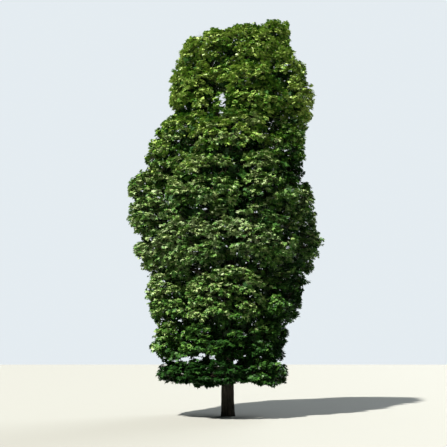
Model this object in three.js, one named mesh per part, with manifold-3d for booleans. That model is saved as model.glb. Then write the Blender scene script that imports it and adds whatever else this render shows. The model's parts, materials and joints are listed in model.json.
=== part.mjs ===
// Columnar Norway maple, about 13.2 m tall, in leaf.
// Millimetres, +Z up. The origin is the centre of the flat cut under the trunk, at ground level.
// +X is the right-hand side and -Y the near side of the tree as it is usually seen.
// The trunk is one tapering solid up to its fork, the two leaders and the boughs are tapering limbs,
// and the crown is a stack of uneven masses of leaves that stand round an open, leafless core.
import * as THREE from "three";
import { mergeVertices } from "three/addons/utils/BufferGeometryUtils.js";
import Module from "manifold-3d";

const wasm = await Module();
wasm.setup();

// ---------------------------------------------------------------- driving sizes (mm)
const FORK_HEIGHT = 8900; // where the trunk ends and the two leaders begin
const TRUNK_RINGS = 22; // steps up the trunk
const TRUNK_SIDES = 12;
const FLARE_HEIGHT = 420; // the roots swell the trunk below this
const FLARE_LOBES = 5;
const FLARE_SWELL = 42; // how far the swelling stands out at the ground
const CELL_GAP = 24; // air between neighbouring masses
const LIMB_SIDES = 7;
const LIMB_RINGS = 5;
const LIMB_GAP = 0.6; // air round a limb where it meets the trunk
const MASS_CLEAR = 1.0008; // a limb stops this much (as a scale) short of the mass it enters
const ROUND_POWER = 2.9; // 2 is an ellipsoid, more is fuller
const UNDERSIDE = 0.86; // a mass is this much flatter below its centre than above it
const UNEVEN = 0.09; // depth of the lumps on a mass, as a share of its radius
const MASS_DETAIL = 2; // faces on a mass: 20 * (detail + 1)^2

// Height, lean and radius of the trunk: [height, x, y, radius]
const TRUNK_STATIONS = [
  [0, 0, 0, 200],
  [250, -2, 0, 199],
  [500, -5, 0, 197],
  [1000, -5, 0, 192],
  [2000, 2, 15, 176],
  [3500, 52, 30, 155],
  [5000, 150, 10, 137],
  [6500, 300, -30, 119],
  [8000, 480, -40, 101],
  [FORK_HEIGHT, 560, -20, 90],
];

// The crown's outline: [height, left edge, right edge, half depth]
const CROWN_STATIONS = [
  [800, -1600, 1450, 1450],
  [1080, -2060, 1840, 1880],
  [1620, -2100, 1740, 1920],
  [2150, -2300, 1700, 1950],
  [2800, -2200, 1980, 2050],
  [3500, -2520, 2290, 2320],
  [4250, -2400, 2560, 2450],
  [5160, -2980, 2920, 2640],
  [5400, -2700, 2930, 2680],
  [5640, -2760, 2890, 2710],
  [5860, -3130, 2850, 2745],
  [6100, -3200, 2810, 2780],
  [7500, -3220, 2590, 2700],
  [8000, -2720, 2530, 2500],
  [9000, -2320, 2500, 2250],
  [9600, -2000, 2760, 2120],
  [10200, -1880, 2910, 2020],
  [11400, -1870, 2620, 1700],
  [11640, -1725, 2480, 1590],
  [11780, -1640, 2150, 1510],
  [12040, -1500, 2040, 1380],
  [12500, -1485, 2135, 1170],
  [13300, -1440, 2130, 700],
];
const CROWN_POWER = 2.3; // of the outline's plan, 2 is an ellipse
const TOP_HEIGHT = 12930; // the top of the crown over the origin
const TOP_SLOPE = 0.19; // how it rises towards +X
const TOP_FALL = 0.48; // and falls towards the near and far sides

// The masses of leaves: name, centre x, y, z, half-sizes x, y, z, and the leafless core kept round the trunk
const MASSES = [
  // the low skirt, apart from the rest by an open gap
  ["foliage_01_skirt_left", -1300, -250, 1250, 900, 1000, 370, 330],
  ["foliage_02_skirt_front", -330, -1300, 1250, 980, 820, 440, 330],
  ["foliage_03_skirt_right_front", 960, -880, 1270, 950, 950, 450, 330],
  ["foliage_04_skirt_right_back", 900, 860, 1260, 950, 950, 430, 330],
  ["foliage_05_skirt_back", -480, 1250, 1230, 1020, 820, 370, 330],
  // first tier above the gap
  ["foliage_06_low_left", -1400, -150, 2330, 1050, 1100, 600, 420],
  ["foliage_07_low_front", -300, -1400, 2200, 1020, 820, 540, 420],
  ["foliage_08_low_right_front", 920, -860, 2250, 950, 950, 720, 420],
  ["foliage_09_low_right_back", 820, 900, 2300, 1000, 1000, 660, 420],
  ["foliage_10_low_back", -580, 1320, 2520, 1050, 900, 860, 420],
  // second tier
  ["foliage_11_second_left", -1540, -220, 3600, 1120, 1150, 860, 480],
  ["foliage_12_second_front", -60, -1600, 3480, 1150, 900, 900, 480],
  ["foliage_13_second_right_front", 1380, -760, 3560, 1150, 1050, 900, 480],
  ["foliage_14_second_right_back", 1180, 980, 3740, 1200, 1080, 960, 480],
  ["foliage_15_second_back", -680, 1520, 4060, 1200, 1000, 880, 480],
  // third tier
  ["foliage_16_third_left", -1960, 60, 4900, 1150, 1150, 780, 520],
  ["foliage_17_third_front_left", -960, -1620, 5060, 1120, 950, 820, 520],
  ["foliage_18_third_front_right", 700, -1720, 5260, 1180, 980, 880, 520],
  ["foliage_19_third_right", 1960, 0, 5080, 1120, 1150, 800, 520],
  ["foliage_20_third_back_right", 820, 1740, 5320, 1220, 1050, 900, 520],
  ["foliage_21_third_back_left", -980, 1700, 5600, 1200, 1050, 940, 520],
  // fourth tier, the widest
  ["foliage_22_fourth_left_low", -2150, -350, 6040, 1220, 1150, 740, 520],
  ["foliage_23_fourth_left_high", -2080, -120, 7060, 1280, 1200, 660, 520],
  ["foliage_24_fourth_front", -520, -1820, 6620, 1200, 950, 920, 520],
  ["foliage_25_fourth_front_right", 1040, -1560, 6960, 1180, 1000, 960, 520],
  ["foliage_26_fourth_right", 1820, 60, 6480, 1180, 1250, 960, 520],
  ["foliage_27_fourth_back_right", 900, 1640, 7060, 1250, 1080, 1000, 520],
  ["foliage_28_fourth_back_left", -900, 1660, 7280, 1250, 1080, 980, 520],
  // fifth tier
  ["foliage_29_fifth_left", -1460, -200, 8560, 1230, 1420, 980, 460],
  ["foliage_30_fifth_front", 60, -1540, 8360, 1150, 950, 880, 460],
  ["foliage_31_fifth_right", 1600, -240, 8180, 1180, 1420, 1030, 460],
  ["foliage_32_fifth_back_right", 1000, 1480, 8760, 1150, 1050, 900, 460],
  ["foliage_33_fifth_back_left", -600, 1560, 9020, 1150, 1050, 920, 460],
  // sixth tier: an opening stays between its left and right masses
  ["foliage_34_sixth_left", -1100, -100, 10380, 880, 1380, 960, 0],
  ["foliage_35_sixth_front_right", 820, -1080, 9960, 880, 1000, 940, 0],
  ["foliage_36_sixth_right", 2020, -60, 10080, 1080, 1380, 950, 0],
  ["foliage_37_sixth_back", 860, 1180, 10420, 1000, 980, 900, 0],
  // the flat, sloping top
  ["foliage_38_top_left_shoulder", -1060, 0, 11680, 780, 1150, 790, 0],
  ["foliage_39_top_centre_left", -280, -560, 11900, 780, 1020, 940, 0],
  ["foliage_40_top_centre_right", 620, -500, 11960, 800, 1050, 1070, 0],
  ["foliage_41_top_right", 1500, 0, 12450, 760, 1080, 880, 0],
  ["foliage_42_top_right_low", 1880, -120, 11200, 900, 1250, 560, 0],
  ["foliage_43_top_back", 220, 940, 11840, 1150, 880, 960, 0],
];

// The boughs: name, height where it leaves the trunk, the mass that it enters, radius at the trunk and at the mass
const BOUGHS = [
  ["bough_01_skirt_left", 1020, "foliage_01_skirt_left", 46, 34],
  ["bough_02_skirt_right", 1110, "foliage_03_skirt_right_front", 44, 32],
  ["bough_03_low_left", 1720, "foliage_06_low_left", 52, 38],
  ["bough_04_low_right", 1900, "foliage_08_low_right_front", 50, 36],
  ["bough_05_second_left", 2720, "foliage_11_second_left", 58, 42],
  ["bough_06_second_right", 2900, "foliage_14_second_right_back", 56, 40],
  ["bough_07_third_left", 3980, "foliage_16_third_left", 60, 44],
  ["bough_08_third_right", 4200, "foliage_19_third_right", 58, 42],
  ["bough_09_fourth_left", 5260, "foliage_22_fourth_left_low", 58, 42],
  ["bough_10_fourth_right", 5480, "foliage_26_fourth_right", 56, 40],
  ["bough_11_fourth_back", 5820, "foliage_28_fourth_back_left", 54, 38],
  ["bough_12_fourth_front", 6000, "foliage_24_fourth_front", 50, 36],
  ["bough_13_fifth_right", 6980, "foliage_31_fifth_right", 50, 36],
  ["bough_14_fifth_left", 7260, "foliage_29_fifth_left", 50, 36],
];

// The two leaders above the fork, each from the top of the trunk into the mass that it enters
const LEADERS = [
  ["leader_left", "foliage_34_sixth_left", 66, 50],
  ["leader_right", "foliage_37_sixth_back", 74, 56],
];

const BARK = { color: 0x4b4238, roughness: 0.95, metalness: 0 };
const LEAF_TINTS = [0x3c5a22, 0x46662a, 0x33501f, 0x527331, 0x2c4720];

// ---------------------------------------------------------------- small helpers
const lerp = (a, b, t) => a + (b - a) * t;

// The value of a column of a table of stations at a height
function station(rows, z, column) {
  let i = 0;
  while (i < rows.length - 2 && z > rows[i + 1][0]) i++;
  const t = (z - rows[i][0]) / (rows[i + 1][0] - rows[i][0]);
  const s = THREE.MathUtils.clamp(t, 0, 1);
  return lerp(rows[i][column], rows[i + 1][column], s);
}
const trunkAxis = (z) =>
  new THREE.Vector3(
    station(TRUNK_STATIONS, z, 1),
    station(TRUNK_STATIONS, z, 2),
    z,
  );

// The swelling over the roots, which dies away with height
function flare(z, angle) {
  const t = Math.max(0, 1 - z / FLARE_HEIGHT);
  const lobe = 0.55 + 0.45 * Math.cos(FLARE_LOBES * angle + 0.7);
  return FLARE_SWELL * t * t * lobe;
}

// Smooth lumps on a unit sphere, different for each mass
function lumps(d, seed) {
  const k = seed * 1.7;
  return (
    0.5 * Math.sin(3.1 * d.x + 1.3 * k) * Math.cos(2.7 * d.y - 0.9 * k) +
    0.3 * Math.sin(4.3 * d.z + 2.1 * k + 1.9 * d.x) +
    0.35 * Math.cos(5.2 * d.y + 3.7 * d.x - 0.6 * k) * Math.sin(3.9 * d.z + k)
  );
}

// A solid tube whose rings follow centre(t) and radius(t, angle), made by moving a cylinder's vertices.
// With upright true its rings stay level.
function tube(centre, radius, sides, rings, upright) {
  const g = new THREE.CylinderGeometry(1, 1, 1, sides, rings);
  const p = g.getAttribute("position");
  const v = new THREE.Vector3();
  for (let i = 0; i < p.count; i++) {
    v.fromBufferAttribute(p, i);
    const t = v.y + 0.5;
    const across = Math.hypot(v.x, v.z);
    const angle = Math.atan2(v.z, v.x);
    const c = centre(t);
    let along = new THREE.Vector3(0, 0, 1);
    if (!upright)
      along = centre(Math.min(1, t + 0.02))
        .sub(centre(Math.max(0, t - 0.02)))
        .normalize();
    const side = new THREE.Vector3(1, 0, 0);
    if (Math.abs(along.x) > 0.8) side.set(0, 1, 0);
    const b = new THREE.Vector3().crossVectors(side, along).normalize();
    const n = new THREE.Vector3().crossVectors(along, b).normalize();
    const r = across < 0.5 ? 0 : radius(t, angle);
    c.addScaledVector(n, r * Math.cos(angle)).addScaledVector(b, r * Math.sin(angle));
    p.setXYZ(i, c.x, c.y, c.z);
  }
  return g;
}

// A closed geometry as a solid, and back
function solidOf(geometry) {
  const g = geometry.clone();
  for (const name of Object.keys(g.attributes))
    if (name !== "position") g.deleteAttribute(name);
  const merged = mergeVertices(g, 1e-3);
  const made = new wasm.Manifold(
    new wasm.Mesh({
      numProp: 3,
      vertProperties: new Float32Array(merged.attributes.position.array),
      triVerts: new Uint32Array(merged.index.array),
    }),
  );
  return made;
}
function geometryOf(solid) {
  const m = solid.getMesh();
  const xyz = new Float32Array(m.numVert * 3);
  for (let i = 0; i < m.numVert; i++)
    xyz.set(m.vertProperties.subarray(i * m.numProp, i * m.numProp + 3), i * 3);
  const g = new THREE.BufferGeometry();
  g.setAttribute("position", new THREE.BufferAttribute(xyz, 3));
  g.setIndex(new THREE.BufferAttribute(new Uint32Array(m.triVerts), 1));
  g.computeVertexNormals();
  return g;
}

// ---------------------------------------------------------------- trunk
const trunkTube = (extra) =>
  tube(
    (t) => trunkAxis(t * (FORK_HEIGHT + extra)),
    (t, angle) =>
      station(TRUNK_STATIONS, t * FORK_HEIGHT, 3) +
      flare(t * FORK_HEIGHT, angle) +
      extra,
    TRUNK_SIDES,
    TRUNK_RINGS,
    true,
  );
const trunkGeometry = trunkTube(0);
const trunkKeepOut = solidOf(trunkTube(LIMB_GAP));

// ---------------------------------------------------------------- masses of leaves
const masses = MASSES.map(([name, x, y, z, rx, ry, rz, core], i) => ({
  name,
  seed: i + 1,
  centre: new THREE.Vector3(x, y, z),
  size: new THREE.Vector3(rx, ry, rz),
  core,
}));

// Whether a point is inside the crown's outline
function inCrown(x, y, z) {
  const left = station(CROWN_STATIONS, z, 1);
  const right = station(CROWN_STATIONS, z, 2);
  const deep = station(CROWN_STATIONS, z, 3);
  const across = Math.abs(x - (left + right) / 2) / ((right - left) / 2);
  const along = Math.abs(y) / deep;
  return (
    Math.pow(across, CROWN_POWER) + Math.pow(along, CROWN_POWER) < 1 &&
    z > CROWN_STATIONS[0][0] &&
    z < TOP_HEIGHT + TOP_SLOPE * x - TOP_FALL * Math.abs(y)
  );
}

// How far a mass reaches from its centre in a direction, before its neighbours are counted
function reach(m, d) {
  const tall = d.z < 0 ? m.size.z * UNDERSIDE : m.size.z;
  const sum =
    Math.pow(Math.abs(d.x) / m.size.x, ROUND_POWER) +
    Math.pow(Math.abs(d.y) / m.size.y, ROUND_POWER) +
    Math.pow(Math.abs(d.z) / tall, ROUND_POWER);
  let far = Math.pow(sum, -1 / ROUND_POWER);
  const c = m.centre;
  if (inCrown(c.x + d.x * far, c.y + d.y * far, c.z + d.z * far)) return far;
  let near = 0;
  for (let i = 0; i < 18; i++) {
    const r = (near + far) / 2;
    if (inCrown(c.x + d.x * r, c.y + d.y * r, c.z + d.z * r)) near = r;
    else far = r;
  }
  return near;
}

// Each pair of masses is parted by a plane, set by how far each reaches towards the other
for (const m of masses) {
  m.planes = [];
  for (const o of masses) {
    if (o === m) continue;
    const way = o.centre.clone().sub(m.centre);
    const apart = way.length();
    way.divideScalar(apart);
    const mine = reach(m, way);
    const theirs = reach(o, way.clone().negate());
    m.planes.push({
      normal: way,
      distance: (apart * mine) / (mine + theirs) - CELL_GAP / 2,
    });
  }
  // and kept off the trunk by an upright plane on its inner side
  if (m.core > 0) {
    const axis = trunkAxis(m.centre.z);
    const inwards = new THREE.Vector3(
      axis.x - m.centre.x,
      axis.y - m.centre.y,
      0,
    );
    const distance = inwards.length() - m.core;
    m.planes.push({ normal: inwards.normalize(), distance });
  }
}

function massGeometry(m) {
  const g = new THREE.IcosahedronGeometry(1, MASS_DETAIL);
  const p = g.getAttribute("position");
  const d = new THREE.Vector3();
  for (let i = 0; i < p.count; i++) {
    d.fromBufferAttribute(p, i).normalize();
    let r = reach(m, d) * (1 + UNEVEN * (lumps(d, m.seed) - 0.4));
    for (const plane of m.planes) {
      const facing = plane.normal.dot(d);
      if (facing > 1e-4) r = Math.min(r, plane.distance / facing);
    }
    p.setXYZ(
      i,
      m.centre.x + d.x * r,
      m.centre.y + d.y * r,
      m.centre.z + d.z * r,
    );
  }
  return g;
}

for (const m of masses) {
  m.geometry = massGeometry(m);
  m.solid = solidOf(m.geometry);
  // a slightly larger copy about its own centre, which limbs are cut back from
  m.keepOut = m.solid
    .translate([-m.centre.x, -m.centre.y, -m.centre.z])
    .scale([MASS_CLEAR, MASS_CLEAR, MASS_CLEAR])
    .translate([m.centre.x, m.centre.y, m.centre.z]);
}
const massNamed = (name) => masses.find((m) => m.name === name);

// ---------------------------------------------------------------- boughs and leaders
// A limb that leaves `from`, rises first and then bends out to `to`, cut back from the trunk and every mass
function limbTube(from, to, rise, r0, r1, sides, rings) {
  const span = to.clone().sub(from);
  const curve = new THREE.CatmullRomCurve3([
    from,
    from.clone().addScaledVector(span, 0.35).add(new THREE.Vector3(0, 0, rise)),
    from.clone().addScaledVector(span, 0.7).add(new THREE.Vector3(0, 0, rise * 0.9)),
    to,
  ]);
  return solidOf(
    tube(
      (t) => curve.getPointAt(THREE.MathUtils.clamp(t, 0, 1)),
      (t) => lerp(r0, r1, t),
      sides,
      rings,
      false,
    ),
  );
}
function cutBack(solid, keepOut) {
  for (const k of keepOut) solid = solid.subtract(k);
  const pieces = solid.decompose();
  pieces.sort((a, b) => b.volume() - a.volume());
  return pieces[0];
}

const limbs = [];
const keepOut = [trunkKeepOut, ...masses.map((m) => m.keepOut)];
function addLimb(name, from, to, rise, r0, r1) {
  limbs.push({
    name,
    solid: cutBack(limbTube(from, to, rise, r0, r1, LIMB_SIDES, LIMB_RINGS), keepOut),
  });
  keepOut.push(
    limbTube(from, to, rise, r0 + LIMB_GAP, r1 + LIMB_GAP, LIMB_SIDES, LIMB_RINGS),
  );
}
for (const [name, into, r0, r1] of LEADERS)
  addLimb(name, trunkAxis(FORK_HEIGHT - 120), massNamed(into).centre, 30, r0, r1);
for (const [name, height, into, r0, r1] of BOUGHS) {
  const m = massNamed(into);
  // aim at the lower inner part of the mass, so that the bough climbs into it
  const to = m.centre.clone();
  to.z -= m.size.z * 0.35;
  addLimb(name, trunkAxis(height), to, 60, r0, r1);
}

// ---------------------------------------------------------------- the tree as a group of named meshes
const tree = new THREE.Group();
function add(name, geometry, material) {
  const mesh = new THREE.Mesh(geometry, new THREE.MeshStandardMaterial(material));
  mesh.name = name;
  tree.add(mesh);
}
add("trunk", trunkGeometry, BARK);
for (const l of limbs) add(l.name, geometryOf(l.solid), BARK);
masses.forEach((m, i) =>
  add(m.name, m.geometry, {
    color: LEAF_TINTS[i % LEAF_TINTS.length],
    roughness: 0.6,
    metalness: 0,
  }),
);

export default tree;
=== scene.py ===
"""Columnar Norway maple in leaf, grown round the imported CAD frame.

The trunk, leaders and boughs get a bark mesh. Every foliage mass is replaced by branches that grow on
from the nearest limb to clumps just under the mass's surface, by twigs in each clump, and by leaves in
opposite pairs on each twig. All of it comes from one seeded generator, in metres, in the frame's axes.
"""

import json
import math

import bpy
import numpy as np
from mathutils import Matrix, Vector
from mathutils.bvhtree import BVHTree

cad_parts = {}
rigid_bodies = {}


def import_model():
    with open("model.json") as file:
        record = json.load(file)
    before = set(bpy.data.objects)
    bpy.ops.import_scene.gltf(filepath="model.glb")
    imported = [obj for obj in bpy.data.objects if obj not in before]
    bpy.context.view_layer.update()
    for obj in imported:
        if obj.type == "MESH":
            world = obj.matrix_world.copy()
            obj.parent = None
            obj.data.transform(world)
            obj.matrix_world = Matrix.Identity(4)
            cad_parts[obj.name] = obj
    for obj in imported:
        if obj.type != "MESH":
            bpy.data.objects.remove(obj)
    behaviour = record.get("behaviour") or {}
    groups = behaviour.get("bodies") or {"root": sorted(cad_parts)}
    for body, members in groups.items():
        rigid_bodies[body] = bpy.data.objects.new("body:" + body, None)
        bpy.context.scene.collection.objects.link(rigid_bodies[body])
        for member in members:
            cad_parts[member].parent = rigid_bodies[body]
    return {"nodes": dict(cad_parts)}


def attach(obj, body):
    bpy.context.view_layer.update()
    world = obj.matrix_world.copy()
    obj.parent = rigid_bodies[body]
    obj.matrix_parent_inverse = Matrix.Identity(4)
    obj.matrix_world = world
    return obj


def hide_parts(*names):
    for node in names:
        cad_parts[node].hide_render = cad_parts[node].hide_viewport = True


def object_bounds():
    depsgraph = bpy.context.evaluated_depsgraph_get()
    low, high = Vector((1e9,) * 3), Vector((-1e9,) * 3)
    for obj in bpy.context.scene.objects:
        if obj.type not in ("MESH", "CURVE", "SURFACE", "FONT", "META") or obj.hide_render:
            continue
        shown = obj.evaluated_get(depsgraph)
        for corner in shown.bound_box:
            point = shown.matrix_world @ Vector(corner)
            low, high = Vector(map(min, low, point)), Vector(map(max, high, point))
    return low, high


for left_over in list(bpy.data.objects):
    bpy.data.objects.remove(left_over)
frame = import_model()
cad_lo, cad_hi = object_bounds()
scene = bpy.context.scene
rng = np.random.default_rng(20417)
UP = np.array([0.0, 0.0, 1.0])


# ------------------------------------------------------------------ small helpers
def unit(v):
    n = np.linalg.norm(v, axis=-1, keepdims=True)
    return v / np.maximum(n, 1e-9)


def dot(a, b):
    return (a * b).sum(-1, keepdims=True)


def smooth(x, a, b):
    t = np.clip((x - a) / (b - a), 0, 1)
    return t * t * (3 - 2 * t)


def link(name, mesh):
    o = bpy.data.objects.new(name, mesh)
    scene.collection.objects.link(o)
    return o


def mesh_from(name, verts, faces, materials, index=None, flat=False):
    """A mesh object from arrays: verts n x 3, faces m x 3 or m x 4."""
    me = bpy.data.meshes.new(name)
    k = faces.shape[1]
    me.vertices.add(len(verts))
    me.vertices.foreach_set("co", np.ascontiguousarray(verts, np.float32).ravel())
    me.loops.add(faces.size)
    me.loops.foreach_set("vertex_index", np.ascontiguousarray(faces, np.int32).ravel())
    me.polygons.add(len(faces))
    me.polygons.foreach_set("loop_start", np.arange(0, faces.size, k, dtype=np.int32))
    for m in materials:
        me.materials.append(m)
    if index is not None:
        me.polygons.foreach_set("material_index", np.ascontiguousarray(index, np.int32))
    me.update(calc_edges=True)
    if flat:
        me.shade_flat()
    me.validate()
    return link(name, me)


# ------------------------------------------------------------------ camera, at the photograph's place
EYE = (-0.1305, -19.667, 1.6)
PITCH = math.radians(12.576)
LENS = 50.0
camera_data = bpy.data.cameras.new("camera")
camera_data.lens = LENS
camera_data.sensor_width = 36.0
camera_data.clip_end = 400
camera = bpy.data.objects.new("camera", camera_data)
camera.location = EYE
camera.rotation_euler = (math.pi / 2 + PITCH, 0, 0)
scene.collection.objects.link(camera)
scene.camera = camera


def seen_at(p):
    """Where points fall in the 447 x 447 frame, for openings and hollows that the view shows."""
    f = 447 * LENS / 36
    d = p - np.array(EYE)
    deep = d[..., 1] * math.cos(PITCH) + d[..., 2] * math.sin(PITCH)
    high = -d[..., 1] * math.sin(PITCH) + d[..., 2] * math.cos(PITCH)
    return 223.5 + f * d[..., 0] / deep, 223.5 - f * high / deep


# ------------------------------------------------------------------ the limbs' routes, as in the CAD
TRUNK = np.array(
    [
        [0, 0, 0, 200],
        [250, -2, 0, 199],
        [500, -5, 0, 197],
        [1000, -5, 0, 192],
        [2000, 2, 15, 176],
        [3500, 52, 30, 155],
        [5000, 150, 10, 137],
        [6500, 300, -30, 119],
        [8000, 480, -40, 101],
        [8900, 560, -20, 90],
    ]
) / 1000.0
FORK = 8.9
BOUGHS = {
    "bough_01_skirt_left": (1.02, "foliage_01_skirt_left", 0.046, 0.034),
    "bough_02_skirt_right": (1.11, "foliage_03_skirt_right_front", 0.044, 0.032),
    "bough_03_low_left": (1.72, "foliage_06_low_left", 0.052, 0.038),
    "bough_04_low_right": (1.90, "foliage_08_low_right_front", 0.050, 0.036),
    "bough_05_second_left": (2.72, "foliage_11_second_left", 0.058, 0.042),
    "bough_06_second_right": (2.90, "foliage_14_second_right_back", 0.056, 0.040),
    "bough_07_third_left": (3.98, "foliage_16_third_left", 0.060, 0.044),
    "bough_08_third_right": (4.20, "foliage_19_third_right", 0.058, 0.042),
    "bough_09_fourth_left": (5.26, "foliage_22_fourth_left_low", 0.058, 0.042),
    "bough_10_fourth_right": (5.48, "foliage_26_fourth_right", 0.056, 0.040),
    "bough_11_fourth_back": (5.82, "foliage_28_fourth_back_left", 0.054, 0.038),
    "bough_12_fourth_front": (6.00, "foliage_24_fourth_front", 0.050, 0.036),
    "bough_13_fifth_right": (6.98, "foliage_31_fifth_right", 0.050, 0.036),
    "bough_14_fifth_left": (7.26, "foliage_29_fifth_left", 0.050, 0.036),
}
LEADERS = {
    "leader_left": ("foliage_34_sixth_left", 0.066, 0.050),
    "leader_right": ("foliage_37_sixth_back", 0.074, 0.056),
}


def trunk_at(z):
    z = np.asarray(z, float)
    return np.stack(
        [np.interp(z, TRUNK[:, 0], TRUNK[:, 1]), np.interp(z, TRUNK[:, 0], TRUNK[:, 2]), z],
        -1,
    )


def trunk_radius(z):
    return np.interp(z, TRUNK[:, 0], TRUNK[:, 3])


def route(a, b, rise, n=24):
    """A limb's line from a to b that climbs first and then bends out."""
    span = b - a
    q1 = a + span * 0.35 + UP * rise
    q2 = a + span * 0.7 + UP * rise * 0.9
    t = np.linspace(0, 1, n)[:, None]
    return (
        a * (1 - t) ** 3 + 3 * q1 * t * (1 - t) ** 2 + 3 * q2 * t * t * (1 - t) + b * t**3
    )


# ------------------------------------------------------------------ the foliage masses of the frame
class Mass:
    pass


masses = []
all_verts, all_faces = [], []
for name in sorted(frame["nodes"]):
    if not name.startswith("foliage_"):
        continue
    me = frame["nodes"][name].data
    co = np.zeros(len(me.vertices) * 3)
    me.vertices.foreach_get("co", co)
    co = co.reshape(-1, 3)
    me.calc_loop_triangles()
    tri = np.zeros(len(me.loop_triangles) * 3, np.int32)
    me.loop_triangles.foreach_get("vertices", tri)
    tri = tri.reshape(-1, 3)
    m = Mass()
    m.name = name
    m.number = int(name.split("_")[1])
    m.co, m.tri = co, tri
    a, b, c = co[tri[:, 0]], co[tri[:, 1]], co[tri[:, 2]]
    volume = (a * np.cross(b, c)).sum(1) / 6
    m.volume = volume.sum()
    m.centre = ((a + b + c) * volume[:, None]).sum(0) / 4 / m.volume
    m.size = (co.max(0) - co.min(0)) / 2
    masses.append(m)
    all_faces.append(tri + sum(len(v) for v in all_verts))
    all_verts.append(co)
crown_tree = BVHTree.FromPolygons(
    np.concatenate(all_verts).tolist(), np.concatenate(all_faces).tolist()
)
by_name = {m.name: m for m in masses}

# ------------------------------------------------------------------ where clumps of leaves go
# Hollows that the view shows as dark: across, down, half-sizes in the 447 frame, and how far they go in (m); their
# sprays are set that much further in and also given darker tints as painted shade
HOLLOWS = [
    (220, 50, 14, 9, 0.55),
    (279, 76, 13, 14, 0.8),
    (207, 99, 18, 14, 0.85),
    (269, 128, 11, 7, 0.5),
    (224, 166, 26, 8, 0.5),
    (294, 170, 12, 19, 0.55),
    (194, 248, 8, 9, 0.4),
    (295, 227, 15, 9, 0.75),
    (295, 287, 16, 16, 0.45),
    (221, 329, 8, 7, 0.5),
    (240, 350, 14, 8, 0.5),
    (253, 213, 17, 7, 0.6),
    (236, 268, 9, 6, 0.4),
    (180, 146, 10, 5, 0.4),
    (177, 171, 15, 4.5, 0.35),
    (169, 202, 7, 9, 0.65),
    (203, 206, 8, 6, 0.5),
    (172, 222, 7, 8, 0.7),
    (199, 231, 7, 5, 0.3),
    (153, 251, 6, 6, 0.6),
    (178, 322, 9, 5, 0.4),
    (262, 351, 9, 7, 0.4),
]
# Openings that show the sky: no leaf is left in the way of them
OPENINGS = [
    (221.5, 94, 1.7, 2.2),
    (222.5, 100, 1.5, 3.0),
    (224.5, 105.5, 1.6, 2.8),
    (220.5, 112, 1.6, 2.4),
    (184.5, 359.5, 7.5, 3.3),
    (197, 358, 6.0, 2.2),
    (202, 354.5, 5.5, 2.4),
    (212.5, 357.5, 5.0, 3.2),
    (245, 357, 2.6, 1.6),
    (156, 359, 5, 3),
    (153.5, 327, 5, 3),
    (302, 56, 11, 9),
    (312, 72, 7.5, 7),
    (310, 146, 8, 14),
    (176.5, 56, 6, 7.5),
    (136, 237.5, 8, 4.8),
    (145, 273, 8, 5),
    (195, 32.5, 12, 7),
    (241, 20.5, 12, 5),
    (318, 262, 9, 7),
    (289.5, 347, 6.5, 10),
    (139.5, 166, 7, 4),
    (143, 151, 7.5, 8),
    (128, 201, 9, 5),
    (312, 174, 7, 6),
]


ACROSS, UPWARD = 0.36, 0.275  # how much closer clumps stand where the crown is open to the light
INSET = 0.36  # from a mass's surface in to where a clump's twigs begin
VALLEY = 0.26  # how much further in that is between two lumps
CLEFT = 0.20  # how far behind the crown's outline the clefts between masses are closed
INNER = (0.80, 0.56)  # how far apart the clumps inside the crown are


def in_ellipses(p, rows):
    """The largest share, 1 at the middle to 0 at the edge, by which points are in any of the ellipses."""
    u, v = seen_at(p)
    best = np.zeros(len(p))
    depth = np.zeros(len(p))
    for row in rows:
        d = np.hypot((u - row[0]) / row[2], (v - row[1]) / row[3])
        share = np.clip(1.25 - d, 0, 1)
        better = share > best
        best = np.where(better, share, best)
        if len(row) > 4:
            depth = np.where(better, row[4], depth)
    return best, depth


def spread(points, gap_across, gap_up, order):
    """Picks points in the given order that stay apart by gap_across level and gap_up in height."""
    kept = np.zeros((len(points), 3))
    chosen = []
    n = 0
    for i in order:
        s = np.array([1 / gap_across[i], 1 / gap_across[i], 1 / gap_up[i]])
        if n:
            d = ((kept[:n] - points[i]) * s) ** 2
            if (d.sum(1) < 1).any():
                continue
        kept[n] = points[i]
        n += 1
        chosen.append(i)
    return np.array(chosen)


def axis_at(z):
    """The trunk's line, and above it the fork's."""
    return trunk_at(np.clip(z, 0, FORK))


# The crown's own outline in plan, by height and bearing, so that clumps between two masses come out to it
every = np.concatenate(all_verts)
Z_STEPS = np.arange(0.8, 13.4, 0.3)
BEARINGS = 24
mid_x = np.array(
    [
        (lambda q: (q[:, 0].min() + q[:, 0].max()) / 2)(every[np.abs(every[:, 2] - z) < 0.5])
        for z in Z_STEPS
    ]
)
mid_x = np.convolve(np.pad(mid_x, 2, "edge"), np.ones(5) / 5, "valid")


def middle(z):
    """The middle line of the crown."""
    return np.stack([np.interp(z, Z_STEPS, mid_x), np.zeros_like(z), z], -1)


rel = every - middle(every[:, 2])
bearing = np.arctan2(rel[:, 1], rel[:, 0])
far = np.hypot(rel[:, 0], rel[:, 1])
reach = np.zeros((len(Z_STEPS), BEARINGS))
for a_, z in enumerate(Z_STEPS):
    for b_ in range(BEARINGS):
        turn = np.abs((bearing - b_ / BEARINGS * 2 * math.pi + math.pi) % (2 * math.pi) - math.pi)
        near = (np.abs(every[:, 2] - z) < 0.45) & (turn < 0.3)
        reach[a_, b_] = far[near].max() if near.any() else 0
for _ in range(2):
    wrap = np.concatenate([reach[:, -1:], reach, reach[:, :1]], 1)
    reach = wrap[:, :-2] * 0.25 + wrap[:, 1:-1] * 0.5 + wrap[:, 2:] * 0.25


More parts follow.
